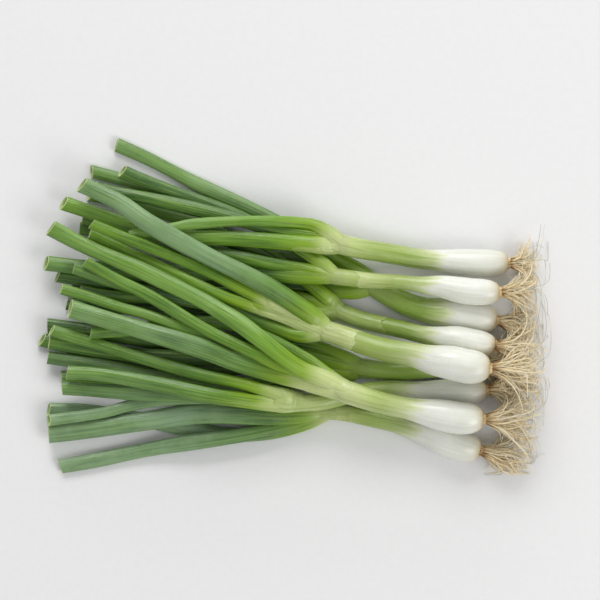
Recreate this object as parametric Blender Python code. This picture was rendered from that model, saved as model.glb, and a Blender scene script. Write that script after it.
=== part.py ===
"""A bunch of nine spring onions, lying loose on a flat surface.

Frame: metres, +Z up, +X along the bunch towards the roots, +Y across it, and the
origin on the surface under the middle of the bunch.

Each onion is three grown pieces: a white bulb that runs on into its shank, a fan of
hollow green leaves cut square at their tips, and a tuft of roots on its root plate.
The onions are laid one by one. Each line lies as low as what is under it allows, so
a shank or a leaf that crosses another one passes over it.
"""

import math

import bmesh
import bpy
import numpy as np

MM = 0.001

# The middle of the bunch in the frame that its routes are drawn in
DRAWN_MIDDLE = (-1.85, -1.75)

# Sections of the strands
SHANK_SIDES = 12
LEAF_SIDES = 8
LEAF_FLATNESS = 0.54
BASE_FLATNESS = 0.80
LEAF_WALL = 0.9
HOLLOW_DEPTH = 12.0
LEAF_OPENS_OVER = 30.0
NARROWS_FROM = 0.5
TIP_WIDTH = 0.94

# Bulbs, with their root plates
PLATE_RADIUS = 3.4
WIDEST_FROM_PLATE = 13.0
FLAT_SPOT = 6.0

# Joints between the grown pieces
NODE_GAP = 0.4
NECK_LENGTH = 13.0
NECK_MIDDLE = (0.97, 0.93)
NECK_END = 0.72
FAN_STATION = 4
LEAF_START = 3.2
LEAF_START_WIDTH = 0.56

# Laying one strand over another
STATION = 3.0
ROUTE_STEPS = 24
CLEARANCE = 1.85
DROOP_RADIUS = 260.0
STIFF_REACH = 2
RELAX_STEPS = 4000
SMOOTHED = 5
SHARED_STATIONS = 3
FUSED_LENGTH = 26.0
PARTING_LENGTH = 30.0

# Rings kept along a strand
RING_ERROR = 0.34
RING_SPACING = 26.0

# Roots
ROOTS = 12
ROOT_SIDES = 3
ROOT_SEGMENTS = 6
ROOT_RADIUS = 0.52
ROOT_TIP_RADIUS = 0.36
SHORTEST_ROOT = 0.6
ROOT_REACH_X = 151.0
ROOT_FAN = 0.30
ROOT_MARGIN = 0.85
ROOT_DROOP = 0.011
ROOT_BEND = np.array([-0.04, 0.0, 0.0])
ROOT_LEAN = (0.40, 0.12)
ROOT_BEND_SPREAD = np.array([0.04, 0.36, 0.2])
ROOT_START_SPREAD = 0.55
ROOT_SPLAY = (0.15, 0.75)
ROOT_LIFT = 1.2
ROOT_SUNK = 0.9
PLATE_LENGTH = 2.6
PLATE_RINGS = ((NODE_GAP, 3.2), (1.4, 2.8), (PLATE_LENGTH, 1.6))
CELL_PASSES = 3
SEED = 10
GOLDEN_ANGLE = math.pi * (3.0 - math.sqrt(5.0))

# Finishes, as linear red, green and blue with a roughness
BULB_WHITE = ((0.76, 0.77, 0.70), 0.35)
LEAF_GREEN = ((0.11, 0.27, 0.035), 0.40)
ROOT_TAN = ((0.58, 0.42, 0.22), 0.75)

# The onions, lowest first, in millimetres. Radii are those of the bulb, of the shank
# at its thinnest and of its green end. The shank runs from the root plate to the
# green end. Each leaf is its width and its route to the cut tip, lowest leaf first.
ONIONS = [
    {
        "name": "onion_3",
        "longest_root": 31.0,
        "radii": (10.0, 7.2, 6.5),
        "taper": 34.0,
        "shank": [(121, -9), (108, -6.8), (93, -4.6), (81, -3.2), (69, 0.2), (57, 6.2), (49, 10.8)],
        "leaves": [
            (8.0, [(36, 17), (18, 23), (0, 28), (-20, 31), (-45, 33), (-80, 37), (-112, 43),
                   (-130, 47)]),
            (9.0, [(36, 9), (24, 8.8), (12, 10), (3, 11.5), (-15, 13), (-39, 13), (-69, 10.5),
                   (-105, 10), (-135, 14)]),
            (8.0, [(33, 20), (15, 30), (-9, 43), (-39, 55), (-63, 63), (-87, 71), (-105, 76.5),
                   (-123, 81)]),
            (8.6, [(39, 20), (27, 28), (9, 39), (-9, 49.5), (-26, 58), (-57, 72), (-87, 87.5),
                   (-108, 97)]),
        ],
    },
    {
        "name": "onion_9",
        "longest_root": 32.0,
        "radii": (6.3, 5.7, 6.2),
        "taper": 30.0,
        "shank": [(106, -35.6), (96, -35.8), (81, -37.6), (63, -39.5), (52, -39.3), (42, -38)],
        "leaves": [
            (8.5, [(30, -42.5), (15, -45), (0, -46), (-30, -47), (-75, -47), (-110, -45.5),
                   (-141, -44)]),
            (8.5, [(30, -40), (15, -38.5), (0, -37), (-20, -36.5), (-45, -38), (-81, -36), (-117, -30),
                   (-153, -20.5)]),
            (9.5, [(30, -32.5), (15, -26.5), (0, -23.5), (-21, -20.5), (-57, -21), (-87, -21),
                   (-117, -16.5), (-149.5, -12.5)]),
            (9.5, [(30, -36), (15, -32), (-3, -29), (-33, -30), (-63, -31.5), (-93, -30), (-117, -27),
                   (-148, -22)]),
        ],
    },
    {
        "name": "onion_8",
        "longest_root": 32.0,
        "radii": (9.7, 5.6, 5.1),
        "taper": 38.0,
        "shank": [(111, -87), (99, -84), (90, -81), (81, -76.5), (69, -73), (57, -70), (45, -67.5),
                  (33, -65), (24, -64)],
        "leaves": [
            (9.0, [(6, -71), (-15, -76.5), (-39, -78), (-63, -75), (-93, -69), (-123, -64),
                   (-149, -63)]),
            (9.4, [(9, -68.5), (-9, -73.5), (-33, -78), (-57, -81.7), (-87, -86.6), (-117, -92.6),
                   (-142, -97.2)]),
            (12.4, [(3, -66), (-21, -66), (-57, -65), (-87, -69), (-117, -73.3), (-148.5, -77)]),
            (7.2, [(3, -60), (-27, -57), (-57, -55.5), (-81, -57), (-99, -60), (-117, -64.5),
                   (-148, -69)]),
        ],
    },
    {
        "name": "onion_4",
        "longest_root": 33.0,
        "radii": (8.1, 5.2, 5.5),
        "taper": 27.0,
        "shank": [(119, -24), (106, -22), (96, -20), (87, -19), (75, -17), (63, -14), (51, -11.5),
                  (39, -8.5), (30, -5)],
        "leaves": [
            (8.0, [(15, -6.5), (-5, -8), (-30, -7), (-60, -4), (-90, -2.5), (-118, -1), (-138, 1)]),
            (8.0, [(18, 0), (3, 4.5), (-15, 6), (-39, 7.5), (-69, 9), (-99, 12), (-123, 15),
                   (-143, 18)]),
            (7.6, [(15, -4), (-3, -2), (-27, 1.5), (-57, 3), (-87, 4.5), (-111, 6), (-129, 9)]),
            (8.0, [(21, 3), (6, 15), (-15, 30), (-36, 40), (-57, 49), (-78, 55.5), (-93, 60),
                   (-124, 67)]),
        ],
    },
    {
        "name": "onion_2",
        "longest_root": 29.0,
        "radii": (8.0, 4.3, 5.0),
        "taper": 38.0,
        "shank": [(121.5, 8), (108, 8.2), (99, 9.2), (87, 11.5), (75, 12.5), (63, 14), (51, 14.5),
                  (39, 15.5), (27, 17)],
        "leaves": [
            (10.2, [(3, 18), (-18, 20), (-39, 20), (-69, 19.5), (-99, 20), (-123, 22.5),
                    (-149.5, 25.5)]),
            (8.0, [(15, 26), (-3, 37.5), (-27, 50), (-48, 59), (-87, 74), (-104, 81)]),
            (7.6, [(3, 22), (-15, 25), (-33, 29), (-54, 33), (-75, 37.5), (-93, 42), (-111, 48),
                   (-128, 52)]),
        ],
    },
    {
        "name": "onion_6",
        "longest_root": 38.0,
        "radii": (8.0, 5.1, 5.3),
        "taper": 32.0,
        "shank": [(115, -51), (100, -51.9), (90, -51.9), (75, -51.4), (60, -50), (45, -51), (33, -53.5),
                  (18, -57), (8, -57.8)],
        "leaves": [
            (8.4, [(-21, -52), (-57, -47), (-87, -42), (-117, -36), (-149, -31.5)]),
            (9.0, [(-21, -57), (-57, -54), (-87, -52.5), (-117, -51), (-140, -49.5)]),
            (9.0, [(-9, -59), (-33, -56), (-57, -52), (-87, -46), (-117, -41), (-136, -40)]),
            (7.4, [(-6, -54), (-21, -49.5), (-33, -46), (-57, -41), (-87, -33), (-111, -25.5),
                   (-129, -20), (-146, -15)]),
        ],
    },
    {
        "name": "onion_1",
        "longest_root": 26.0,
        "radii": (8.2, 6.0, 6.1),
        "taper": 34.0,
        "shank": [(128, 25.5), (112, 25.6), (93, 26.6), (75, 28), (63, 30), (51, 32), (39, 34),
                  (30, 36)],
        "leaves": [
            (8.4, [(18, 40.5), (3, 43), (-15, 46), (-33, 51), (-57, 57), (-87, 64), (-108, 68),
                   (-120, 71)]),
            (9.5, [(18, 36), (3, 37), (-21, 39), (-45, 40.5), (-63, 40.5), (-78, 42), (-93, 46),
                   (-111, 52), (-139, 61.5)]),
            (6.6, [(15, 46.5), (3, 49.6), (-27, 50.4), (-57, 49), (-72, 46.5), (-87, 44), (-99, 42)]),
        ],
    },
    {
        "name": "onion_5",
        "longest_root": 38.0,
        "radii": (10.2, 6.9, 6.3),
        "taper": 32.0,
        "shank": [(115, -37), (102, -36), (93, -34), (81, -32), (69, -29), (57, -27), (45, -24),
                  (33, -20), (21, -16)],
        "leaves": [
            (7.6, [(3, -18), (-12, -13.5), (-27, -7), (-42, -1.5), (-63, 3), (-87, 8), (-111, 15),
                   (-132, 22.5)]),
            (7.0, [(3, -10.5), (-12, -5), (-21, -2), (-39, 4), (-57, 12), (-87, 26), (-105, 34.5),
                   (-123, 43)]),
            (6.8, [(3, -7.5), (-12, 0), (-20, 4), (-33, 10.5), (-57, 22.5), (-87, 35), (-105, 42),
                   (-121, 48.6)]),
            (11.2, [(12, -8), (3, -1), (-15, 10.5), (-33, 20), (-57, 32), (-87, 49), (-105, 61.5),
                    (-127, 72)]),
        ],
    },
    {
        "name": "onion_7",
        "longest_root": 41.0,
        "radii": (9.7, 6.4, 6.8),
        "taper": 30.0,
        "shank": [(112, -67.5), (99, -67), (92, -66), (81, -64), (69, -61.5), (57, -59), (45, -56),
                  (33, -52)],
        "leaves": [
            (8.0, [(12, -35.5), (3, -30), (-6, -25), (-18, -19), (-36, -12), (-57, -10), (-87, -13.5),
                   (-122, -16.5)]),
            (6.8, [(3, -41), (-21, -31.5), (-48, -21), (-63, -15), (-87, -6), (-105, -1), (-123, 5),
                   (-140, 10)]),
            (11.6, [(15, -47), (3, -44), (-9, -41), (-33, -34), (-57, -25), (-87, -16), (-111, -9),
                    (-134, -2)]),
            (7.5, [(15, -43.5), (0, -38), (-12, -34), (-22, -29), (-33, -24), (-57, -12), (-87, 6),
                   (-105, 15), (-125, 26)]),
            (10.2, [(18, -44), (3, -37.5), (-9, -29), (-21, -19.5), (-33, -10.5), (-45, -3), (-57, 4),
                    (-87, 19), (-105, 27), (-126, 36), (-146, 46.5)]),
        ],
    },
]


def clear_scene():
    """Removes the startup scene's objects."""
    for obj in list(bpy.data.objects):
        bpy.data.objects.remove(obj, do_unlink=True)


def make_material(name, finish):
    """A Principled material of one colour and roughness, for a plant's surface."""
    colour, roughness = finish
    material = bpy.data.materials.new(name)
    material.use_nodes = True
    shader = material.node_tree.nodes["Principled BSDF"]
    shader.inputs["Base Color"].default_value = (*colour, 1.0)
    shader.inputs["Roughness"].default_value = roughness
    shader.inputs["Metallic"].default_value = 0.0
    return material


def smoothstep(t):
    """0 before t = 0, 1 after t = 1, and an even rise between them."""
    t = np.clip(t, 0.0, 1.0)
    return t * t * (3.0 - 2.0 * t)


def smooth_route(points):
    """Stations at even steps along a Catmull-Rom curve through the route's points."""
    route = np.array(points, float) - DRAWN_MIDDLE
    knots = np.vstack([2 * route[0] - route[1], route, 2 * route[-1] - route[-2]])
    t = np.linspace(0.0, 1.0, ROUTE_STEPS, endpoint=False)[:, None]
    spans = []
    for a, b, c, d in zip(knots[:-3], knots[1:-2], knots[2:-1], knots[3:]):
        spans.append(0.5 * (2 * b + (c - a) * t + (2 * a - 5 * b + 4 * c - d) * t**2
                            + (3 * b - a - 3 * c + d) * t**3))
    dense = np.vstack(spans + [route[-1:]])
    run = np.concatenate([[0.0], np.cumsum(np.linalg.norm(np.diff(dense, axis=0), axis=1))])
    even = np.linspace(0.0, run[-1], max(2, round(run[-1] / STATION) + 1))
    return np.column_stack([np.interp(even, run, dense[:, i]) for i in range(2)]), even


def shank_radius(run, radii, taper):
    """Rounded from the root plate to the widest ring, then an S-shaped taper to the
    thinnest place and an even change to the green end."""
    bulb, thin, end = radii
    near = np.clip(run / WIDEST_FROM_PLATE, 0.0, 1.0)
    round_end = PLATE_RADIUS + (bulb - PLATE_RADIUS) * np.sqrt(1.0 - (1.0 - near) ** 2)
    past = run - WIDEST_FROM_PLATE - FLAT_SPOT
    to_end = smoothstep((past - taper) / (run[-1] - WIDEST_FROM_PLATE - taper))
    narrow = bulb + (thin - bulb) * smoothstep(past / taper) + (end - thin) * to_end
    return np.where(run < WIDEST_FROM_PLATE, round_end, narrow)


def leaf_half_width(run, width, start):
    """Grows from its start inside the neck to its full width, then narrows a little."""
    opened = smoothstep(run / LEAF_OPENS_OVER)
    late = (run / run[-1] - NARROWS_FROM) / (1.0 - NARROWS_FROM)
    narrowing = 1.0 - (1.0 - TIP_WIDTH) * smoothstep(late)
    return (start + (width / 2 - start) * opened) * narrowing


def leaf_flatness(run):
    """Height over width: nearly round at the neck, a flat oval further on."""
    return BASE_FLATNESS + (LEAF_FLATNESS - BASE_FLATNESS) * smoothstep(run / LEAF_OPENS_OVER)


def clearing_height(strand, other, parting):
    """The lowest height of the strand's axis that clears another strand: where their
    plans overlap, the other's height plus the ellipse that two ovals need."""
    start = other["plan"][:-1]
    along = other["plan"][1:] - start
    offset = strand["plan"][:, None] - start[None]
    share = np.clip((offset * along).sum(2) / (along**2).sum(1), 0.0, 1.0)
    away = np.linalg.norm(offset - share[..., None] * along[None], axis=2)

    def there(name):
        value = other[name]
        return value[:-1] + share * (value[1:] - value[:-1])

    reach = strand["half_width"][:, None] + there("half_width")
    tall = strand["half_height"][:, None] + there("half_height")
    over = tall * np.sqrt(np.clip(1.0 - (away / reach) ** 2, 0.0, 1.0)) + CLEARANCE
    height = there("height") + parting[:, None] * over
    return np.where(away < reach, height, 0.0).max(axis=1)


def lay(strand, laid, siblings, fixed):
    """Gives the strand the lowest line that clears the surface and what is laid: the
    height is at least the needed one, and elsewhere it sags between its supports at
    the droop radius. The first fixed stations keep the heights they have."""
    apart = np.ones(len(strand["run"]))
    need = strand["half_height"].copy()
    for other in laid:
        need = np.maximum(need, clearing_height(strand, other, apart))
    parting = smoothstep((strand["run"] - FUSED_LENGTH) / PARTING_LENGTH)
    for other in siblings:
        need = np.maximum(need, clearing_height(strand, other, parting))
    rigid = strand.get("widest", -1) + 1
    need[:rigid] = need[:rigid].max(initial=0.0)
    wide = need.copy()
    for shift in range(1, STIFF_REACH + 1):
        wide[shift:] = np.maximum(wide[shift:], need[:-shift])
        wide[:-shift] = np.maximum(wide[:-shift], need[shift:])
    if fixed is not None:
        wide[: len(fixed)] = fixed
    sag = STATION**2 / (2.0 * DROOP_RADIUS)
    height = wide.copy()
    for _ in range(RELAX_STEPS):
        padded = np.concatenate([[height[0]], height, [height[-1]]])
        height = np.maximum(wide, 0.5 * (padded[:-2] + padded[2:]) - sag)
        if fixed is not None:
            height[: len(fixed)] = fixed
    padded = np.pad(height, SMOOTHED // 2, mode="edge")
    soft = np.convolve(padded, np.ones(SMOOTHED) / SMOOTHED, "valid")
    soft[0] = height[0]
    if fixed is not None:
        soft[: len(fixed)] = fixed
    soft = np.maximum(soft, need) if fixed is None else soft
    soft[:rigid] = soft[:rigid].max(initial=0.0)
    strand["height"] = soft
    return strand


def plan_of_shank(onion):
    """The shank's stations with their radii, round in section."""
    plan, run = smooth_route(onion["shank"])
    radius = shank_radius(run, onion["radii"], onion["taper"])
    widest = int(np.searchsorted(run, WIDEST_FROM_PLATE + FLAT_SPOT)) - 1
    return {"plan": plan, "run": run, "half_width": radius, "half_height": radius.copy(),
            "widest": widest}


def plan_of_leaf(onion, shank, width, points):
    """The leaf's stations with their oval sections, from inside the neck to the tip."""
    end = shank["plan"][-1]
    heading = end - shank["plan"][-2]
    first = end + heading / np.linalg.norm(heading) * LEAF_START + DRAWN_MIDDLE
    plan, run = smooth_route([first] + list(points))
    half_width = leaf_half_width(run, width, LEAF_START_WIDTH * onion["radii"][2])
    return {"plan": plan, "run": run, "half_width": half_width,
            "half_height": half_width * leaf_flatness(run)}


def lay_bunch():
    """Lays every shank and leaf in turn and returns the onions with their strands."""
    laid = []
    bunch = []
    for onion in ONIONS:
        shank = plan_of_shank(onion)
        leaves = [plan_of_leaf(onion, shank, *leaf) for leaf in onion["leaves"]]
        lead = leaves[0]
        joined = {name: np.concatenate([shank[name], lead[name]])
                  for name in ("plan", "half_width", "half_height")}
        joined["run"] = np.concatenate([shank["run"], shank["run"][-1] + LEAF_START + lead["run"]])
        joined["widest"] = shank["widest"]
        lay(joined, laid, [], None)
        count = len(shank["run"])
        shank["height"] = joined["height"][:count]
        lead["height"] = joined["height"][count:]
        siblings = [lead]
        for leaf in leaves[1:]:
            lay(leaf, laid, siblings, lead["height"][:SHARED_STATIONS])
            siblings.append(leaf)
        laid += [shank] + siblings
        bunch.append({**onion, "shank": shank, "leaves": leaves})
    return bunch


def kept_stations(strand):
    """The stations that get a ring: as few as keep the polyline near the curve."""
    line = np.column_stack([strand["plan"], strand["height"]])
    run = strand["run"]
    kept = [0]
    while kept[-1] < len(line) - 1:
        here = kept[-1]
        there = here + 1
        while there + 1 < len(line) and run[there + 1] - run[here] < RING_SPACING:
            share = (run[here:there + 2] - run[here]) / (run[there + 1] - run[here])
            chord = line[here] + share[:, None] * (line[there + 1] - line[here])
            widths = np.interp(share, [0, 1], strand["half_width"][[here, there + 1]])
            error = np.linalg.norm(line[here:there + 2] - chord, axis=1).max()
            error = max(error, np.abs(widths - strand["half_width"][here:there + 2]).max())
            if error > RING_ERROR:
                break
            there += 1
        kept.append(there)
    return kept


def ring_points(centre, across, half_width, half_height, sides):
    """A polygon that stands upright round a station, its flats at the top and bottom."""
    angle = (np.arange(sides) + 0.5) * 2.0 * math.pi / sides
    outer = 1.0 / math.cos(math.pi / sides)
    sideways = outer * half_width * np.cos(angle)
    upwards = outer * half_height * np.sin(angle)
    points = centre + sideways[:, None] * np.array([*across, 0.0])
    points[:, 2] += upwards
    return points


def rings_along(strand, stations, sides):
    """Rings at some of the strand's stations, square to its plan."""
    heading = np.gradient(strand["plan"], axis=0)
    heading /= np.linalg.norm(heading, axis=1)[:, None]
    across = np.column_stack([-heading[:, 1], heading[:, 0]])
    rings = []
    for i in stations:
        centre = np.array([*strand["plan"][i], strand["height"][i]])
        rings.append(ring_points(centre, across[i], strand["half_width"][i],
                                 strand["half_height"][i], sides))
    return rings


def solid_from_rings(name, rings):
    """Bridges the rings in turn and closes both ends, as one mesh object."""
    shape = bmesh.new()
    loops = [[shape.verts.new(point * MM) for point in ring] for ring in rings]
    sides = len(rings[0])
    for lower, upper in zip(loops[:-1], loops[1:]):
        for i in range(sides):
            j = (i + 1) % sides
            shape.faces.new((lower[i], lower[j], upper[j], upper[i]))
    shape.faces.new(loops[0])
    shape.faces.new(loops[-1])
    bmesh.ops.recalc_face_normals(shape, faces=shape.faces)
    bmesh.ops.triangulate(shape, faces=shape.faces)
    mesh = bpy.data.meshes.new(name)
    shape.to_mesh(mesh)
    shape.free()
    obj = bpy.data.objects.new(name, mesh)
    bpy.context.scene.collection.objects.link(obj)
    return obj


def join_repeats(name, pieces, material):
    """One Boolean union of the first piece with a collection of the others, applied."""
    base, others = pieces[0], pieces[1:]
    repeats = bpy.data.collections.new(name + "_repeats")
    bpy.context.scene.collection.children.link(repeats)
    for piece in others:
        bpy.context.scene.collection.objects.unlink(piece)
        repeats.objects.link(piece)
    union = base.modifiers.new("union", "BOOLEAN")
    union.operation = "UNION"
    union.operand_type = "COLLECTION"
    union.collection = repeats
    union.solver = "MANIFOLD"
    graph = bpy.context.evaluated_depsgraph_get()
    mesh = bpy.data.meshes.new_from_object(base.evaluated_get(graph))
    for piece in pieces:
        bpy.data.objects.remove(piece, do_unlink=True)
    bpy.data.collections.remove(repeats)
    mesh.name = name
    mesh.materials.clear()
    mesh.materials.append(material)
    node = bpy.data.objects.new(name, mesh)
    bpy.context.scene.collection.objects.link(node)
    return node


def make_bulb(onion, material):
    """The bulb and its shank, ending flat at the root plate and at the green neck."""
    shank = onion["shank"]
    stations = kept_stations(shank)
    widest = shank["widest"]
    stations = sorted(set(stations) | {widest - 1, widest})
    rings = rings_along(shank, stations, SHANK_SIDES)
    bulb = solid_from_rings(onion["name"] + "_bulb", rings)
    bulb.data.materials.append(material)
    bulb.data.shade_smooth()
    return bulb


def make_neck(onion):
    """The green end of the shank that the leaves part from."""
    shank = onion["shank"]
    lead = onion["leaves"][0]
    end = np.array([*shank["plan"][-1], shank["height"][-1]])
    before = np.array([*shank["plan"][-2], shank["height"][-2]])
    ahead = (end - before) / np.linalg.norm(end - before)
    fan = np.mean([leaf["plan"][FAN_STATION] for leaf in onion["leaves"]], axis=0)
    aim = np.array([*fan, lead["height"][FAN_STATION]])
    radius = shank["half_width"][-1]
    across = np.array([-ahead[1], ahead[0]]) / np.hypot(ahead[0], ahead[1])
    first = end + ahead * NODE_GAP
    half = NECK_LENGTH / 2.0
    middle = end + ahead * half
    last = middle + (aim - middle) / np.linalg.norm(aim - middle) * half
    wide, tall = NECK_MIDDLE
    rings = [
        ring_points(first, across, radius, radius, SHANK_SIDES),
        ring_points(middle, across, radius * wide, radius * tall, SHANK_SIDES),
        ring_points(last, across, radius * NECK_END, radius * NECK_END * BASE_FLATNESS, SHANK_SIDES),
    ]
    return solid_from_rings("neck", rings)


def make_leaf(leaf):
    """A leaf tube, closed at its base and hollow behind its square-cut tip."""
    rings = rings_along(leaf, kept_stations(leaf), LEAF_SIDES)
    hollow = {name: leaf[name] for name in ("plan", "height", "run")}
    hollow["half_width"] = leaf["half_width"] - LEAF_WALL
    hollow["half_height"] = leaf["half_height"] - LEAF_WALL
    last = len(leaf["run"]) - 1
    deep = last - round(HOLLOW_DEPTH / STATION)
    rings += rings_along(hollow, [last, deep], LEAF_SIDES)
    return solid_from_rings("leaf", rings)


def make_leaves(onion, material):
    """The neck with its leaves, fused into one green piece."""
    pieces = [make_neck(onion)] + [make_leaf(leaf) for leaf in onion["leaves"]]
    return join_repeats(onion["name"] + "_leaves", pieces, material)


def plate_frame(onion):
    """The middle of the root plate's outer face and the direction it faces."""
    shank = onion["shank"]
    face = np.array([*shank["plan"][0], shank["height"][0]])
    out = shank["plan"][0] - shank["plan"][2]
    out = np.array([*out, 0.0]) / np.linalg.norm(out)
    return face, out


def fanned(centres, x, middle):
    """Where each tuft's own middle line is at the given x: the lines spread apart
    from the middle of the bunch as they leave the plates."""
    past = np.clip((x - centres[:, 0]) / (ROOT_REACH_X - centres[:, 0]), 0.0, None)
    spread = middle + (centres[:, 1] - middle) * (1.0 + ROOT_FAN * past)
    return np.column_stack([spread, centres[:, 2]])


def keep_in_cell(line, mine, centres, middle):
    """Moves each point of a root to its own side of the plane halfway to each other
    tuft's middle line, and above the surface."""
    for point in line:
        lines = fanned(centres, point[0], middle)
        for _ in range(CELL_PASSES):
            for other in range(len(centres)):
                if other == mine:
                    continue
                apart = lines[other] - lines[mine]
                reach = np.linalg.norm(apart)
                past = (point[1:] - lines[mine]) @ apart / reach - (reach / 2 - ROOT_MARGIN)
                if past > 0:
                    point[1:] -= past * apart / reach
            point[2] = max(point[2], ROOT_RADIUS * ROOT_LIFT)
    return line


def root_line(face, out, share, angle, length, bend):
    """A root leaves the plate outwards and sideways, bends one way and droops:
    place = start + direction times run + bend times run squared + fall."""
    side = np.array([-out[1], out[0], 0.0])
    up = np.array([0.0, 0.0, 1.0])
    radial = math.cos(angle) * side + math.sin(angle) * up
    start = face + radial * share * PLATE_RADIUS * ROOT_START_SPREAD + out * ROOT_SUNK
    heading = out + radial * (ROOT_SPLAY[0] + ROOT_SPLAY[1] * share)
    heading /= np.linalg.norm(heading)
    run = np.linspace(0.0, 1.0, ROOT_SEGMENTS + 1)[:, None] * length
    line = start + heading * run + bend * run**2 / length
    line[:, 2] -= ROOT_DROOP * run[:, 0] ** 2
    line[:, 0] = np.minimum(line[:, 0], ROOT_REACH_X)
    return line


def root_rings(line):
    """Three-sided rings along a root, each square to it, thinner towards its tip."""
    heading = np.gradient(line, axis=0)
    heading /= np.linalg.norm(heading, axis=1)[:, None]
    across = np.cross(heading, [0.0, 0.0, 1.0])
    across /= np.linalg.norm(across, axis=1)[:, None]
    upwards = np.cross(across, heading)
    radius = np.linspace(ROOT_RADIUS, ROOT_TIP_RADIUS, len(line))
    angle = np.arange(ROOT_SIDES) * 2.0 * math.pi / ROOT_SIDES + math.pi / 2
    rings = []
    for i, centre in enumerate(line):
        turn = np.cos(angle)[:, None] * across[i] + np.sin(angle)[:, None] * upwards[i]
        rings.append(centre + radius[i] * turn)
    return rings


def make_roots(mine, bunch, centres, draw, material):
    """The root plate with its tuft of roots, fused into one piece."""
    onion = bunch[mine]
    face, out = plate_frame(onion)
    across = np.array([-out[1], out[0]])
    middle = centres[:, 1].mean()
    plate = [ring_points(face + out * depth, across, radius, radius, LEAF_SIDES)
             for depth, radius in PLATE_RINGS]
    pieces = [solid_from_rings("plate", plate)]
    for i in range(ROOTS):
        share = math.sqrt((i + 0.5) / ROOTS)
        length = onion["longest_root"] * draw.uniform(SHORTEST_ROOT, 1.0)
        bend = ROOT_BEND + draw.uniform(-1.0, 1.0, 3) * ROOT_BEND_SPREAD
        bend[1] += np.interp(face[1], [centres[:, 1].min(), centres[:, 1].max()], ROOT_LEAN)
        line = root_line(face, out, share, i * GOLDEN_ANGLE, length, bend)
        line = keep_in_cell(line, mine, centres, middle)
        pieces.append(solid_from_rings("root", root_rings(line)))
    return join_repeats(onion["name"] + "_roots", pieces, material)


def main():
    """Lays the bunch and makes each onion's three pieces."""
    clear_scene()
    bunch = lay_bunch()
    centres = np.array([plate_frame(onion)[0] for onion in bunch])
    draw = np.random.default_rng(SEED)
    for mine, onion in enumerate(bunch):
        name = onion["name"]
        make_bulb(onion, make_material(name + "_white", BULB_WHITE))
        make_leaves(onion, make_material(name + "_green", LEAF_GREEN))
        make_roots(mine, bunch, centres, draw, make_material(name + "_tan", ROOT_TAN))


main()
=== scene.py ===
"""The looks of a bunch of nine spring onions, lying loose on a pale table.

The onions are measured in millimetres, and the table, the lamps and every mesh in
metres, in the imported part's frame: +Z up, +X along the bunch towards the roots.
"""

import math

import bpy
import numpy as np
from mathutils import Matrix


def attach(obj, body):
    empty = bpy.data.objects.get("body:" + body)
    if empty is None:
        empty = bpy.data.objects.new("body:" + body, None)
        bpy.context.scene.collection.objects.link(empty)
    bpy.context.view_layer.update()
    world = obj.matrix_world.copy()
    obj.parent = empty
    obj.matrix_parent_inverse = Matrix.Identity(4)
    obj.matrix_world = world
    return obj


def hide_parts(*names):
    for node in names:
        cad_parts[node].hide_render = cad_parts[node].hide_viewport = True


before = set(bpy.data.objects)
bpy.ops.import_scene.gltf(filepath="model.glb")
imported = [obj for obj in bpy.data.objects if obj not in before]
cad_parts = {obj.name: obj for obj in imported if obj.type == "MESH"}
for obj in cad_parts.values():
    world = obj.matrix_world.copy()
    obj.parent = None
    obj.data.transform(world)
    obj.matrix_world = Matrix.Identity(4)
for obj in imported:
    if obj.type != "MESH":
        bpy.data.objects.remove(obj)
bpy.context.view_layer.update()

# The table and the light
# A wide table of matt pale card. A high and a low soft lamp stand on the side of the top
# onion, a weak one across from them, and a long lens looks straight down.
TABLE_HALF = 20.0
TABLE_DROP = 0.0001
TABLE_GREY = 0.80
TABLE_FLECK = 0.008
CARD_LUMPS = 260.0
CARD_ROUGHNESS = 0.75
LENS = 150.0
VIEW_HEIGHT = 1.512
VIEW_MIDDLE = (0.00485, 0.00505)
ROOM_STRENGTH = 0.46
LAMPS = (("main_lamp", (-0.4, 2.4, 1.9), (1.8, 1.2), 45.0),
         ("weak_lamp", (1.5, -1.1, 1.6), (1.4, 1.2), 26.0),
         ("low_lamp", (0.1, 2.2, 0.5), (2.6, 0.7), 14.0))


def add_node(tree, kind, inputs=None, **settings):
    """One shader node, with its settings made and its inputs filled or linked."""
    made = tree.nodes.new("ShaderNode" + kind)
    for name, value in settings.items():
        setattr(made, name, value)
    for name, value in (inputs or {}).items():
        if isinstance(value, bpy.types.NodeSocket):
            tree.links.new(value, made.inputs[name])
        else:
            made.inputs[name].default_value = value
    return made


def new_finish(name, roughness):
    """An empty Principled material, its node tree and its shader."""
    material = bpy.data.materials.new(name)
    material.use_nodes = True
    shader = material.node_tree.nodes["Principled BSDF"]
    shader.inputs["Roughness"].default_value = roughness
    return material, material.node_tree, shader


def noise(tree, where, scale, detail=3.0, stretch=(1.0, 1.0, 1.0)):
    """Noise of 0 to 1 at the given number of lumps a metre, stretched along an axis."""
    placed = add_node(tree, "Mapping", {"Vector": where, "Scale": stretch})
    return add_node(tree, "TexNoise", {"Vector": placed.outputs[0], "Scale": scale,
                                       "Detail": detail}).outputs[0]


def spread(tree, value, low, high, start=0.0, end=1.0):
    """The value's range from low to high, carried onto start to end and held there."""
    made = add_node(tree, "MapRange", {"Value": value, "From Min": low, "From Max": high,
                                       "To Min": start, "To Max": end})
    return made.outputs[0]


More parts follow.
